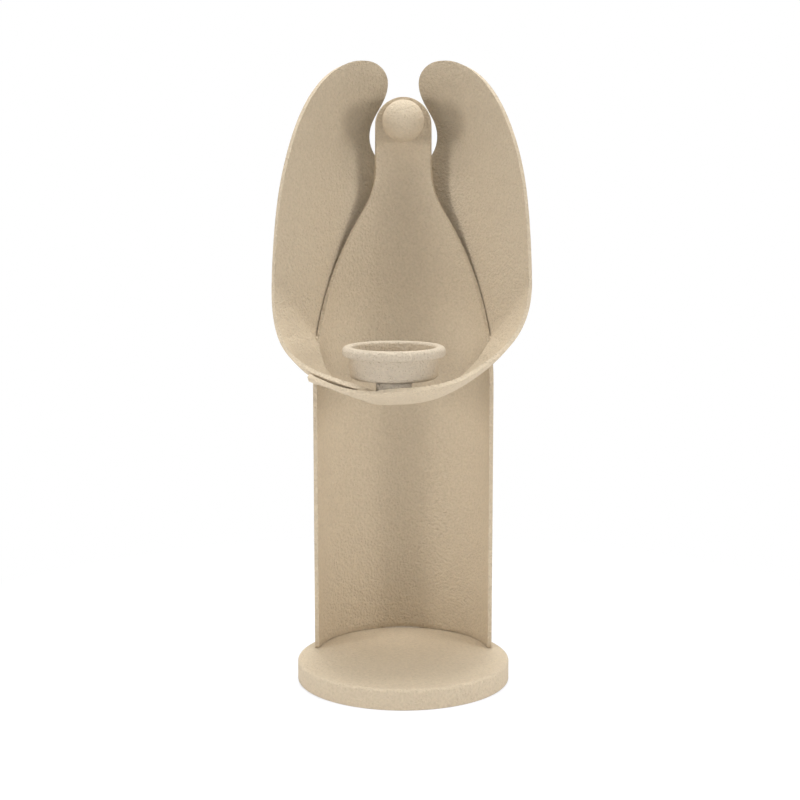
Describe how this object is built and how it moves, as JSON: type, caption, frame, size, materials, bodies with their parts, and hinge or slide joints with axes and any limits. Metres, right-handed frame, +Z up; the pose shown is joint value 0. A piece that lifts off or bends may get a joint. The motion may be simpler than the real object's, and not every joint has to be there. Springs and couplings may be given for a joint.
{
  "type": "angel candle holder",
  "caption": "Free-standing angel in powder-coated sheet metal: half-pipe robe on a round foot, wings that wrap forward under a tealight cup, and a ball head.",
  "frame": {"origin": "middle of the foot plate's underside, on the surface that the holder stands on", "axes": "+Z up; -Y to the front, where the cup is; +X to the right as seen from the front"},
  "size_m": [0.1242, 0.1173, 0.3],
  "materials": {
    "base_coat": "fine sand-textured matt powder coat, beige",
    "robe_coat": "fine sand-textured matt powder coat, beige",
    "wing_coat": "fine sand-textured matt powder coat, beige",
    "head_coat": "fine sand-textured matt powder coat, beige",
    "cup_coat": "sand-textured matt powder coat, beige with pale specks",
    "post_coat": "sand-textured matt powder coat, beige with pale specks"
  },
  "bodies": {
    "root": {"base_plate": "base_coat", "robe_shell": "robe_coat", "wing_sheet": "wing_coat", "head_ball": "head_coat", "candle_cup": "cup_coat", "cup_post": "post_coat"}
  },
  "joints": []
}
